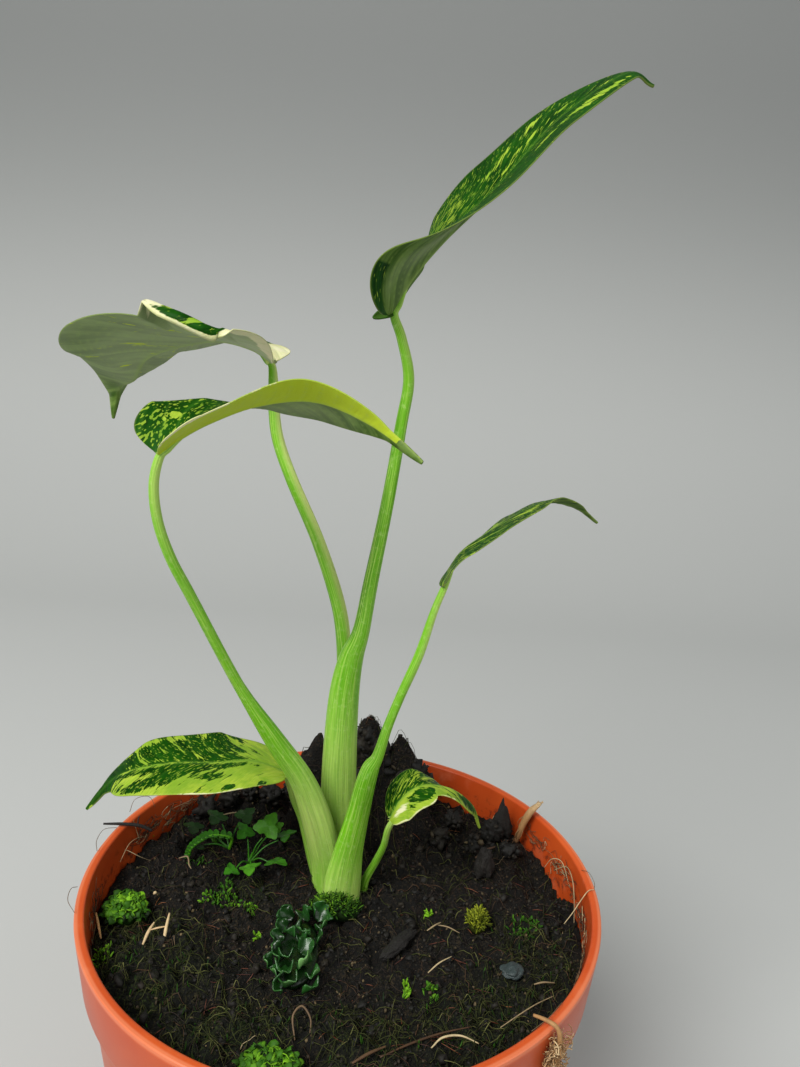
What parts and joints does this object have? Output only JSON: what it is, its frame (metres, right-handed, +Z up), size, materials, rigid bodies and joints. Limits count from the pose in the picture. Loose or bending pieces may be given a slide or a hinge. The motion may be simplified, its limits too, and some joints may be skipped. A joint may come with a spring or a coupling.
{
  "type": "potted monstera plant",
  "caption": "Young variegated monstera with entire, streaked leaves on sheathed petioles, in a plain round tapered nursery pot of peaty soil with moss and small weeds.",
  "frame": {"origin": "middle of the flat foot of the pot", "axes": "+Z up, along the pot's axis; the picture looks along +Y, with +X to its right"},
  "size_m": [0.1353, 0.12, 0.2826],
  "materials": {
    "pot_plastic": "smooth moulded terracotta-coloured plastic",
    "soil": "crumbly dark peat with fine root fibres",
    "stem": "smooth waxy living petiole",
    "leaf": "semi-gloss living leaf, streaked green, yellow and cream",
    "moss": "soft matt moss and liverwort",
    "weed": "thin matt young leaves",
    "bark": "rough broken bark and wood",
    "fibre": "dry tan plant fibre",
    "stone": "matt grey slate"
  },
  "bodies": {
    "root": {"pot": "pot_plastic", "soil": "soil", "crown": "stem", "petiole_tall": "stem", "petiole_drooping": "stem", "petiole_arching": "stem", "petiole_slender": "stem", "petiole_low": "stem", "petiole_small": "stem", "blade_tall": "leaf", "blade_drooping": "leaf", "blade_arching": "leaf", "blade_slender": "leaf", "blade_low": "leaf", "blade_small": "leaf", "moss_left": "moss", "moss_stem": "moss", "moss_front": "moss", "moss_lump": "moss", "liverwort": "moss", "weed_seedling": "weed", "fern_sporeling": "weed", "bark_strip": "bark", "wood_chunk": "bark", "wood_shard": "bark", "rim_twig": "bark", "husk": "fibre", "coir_tuft": "fibre", "slate_chip": "stone"}
  },
  "joints": []
}
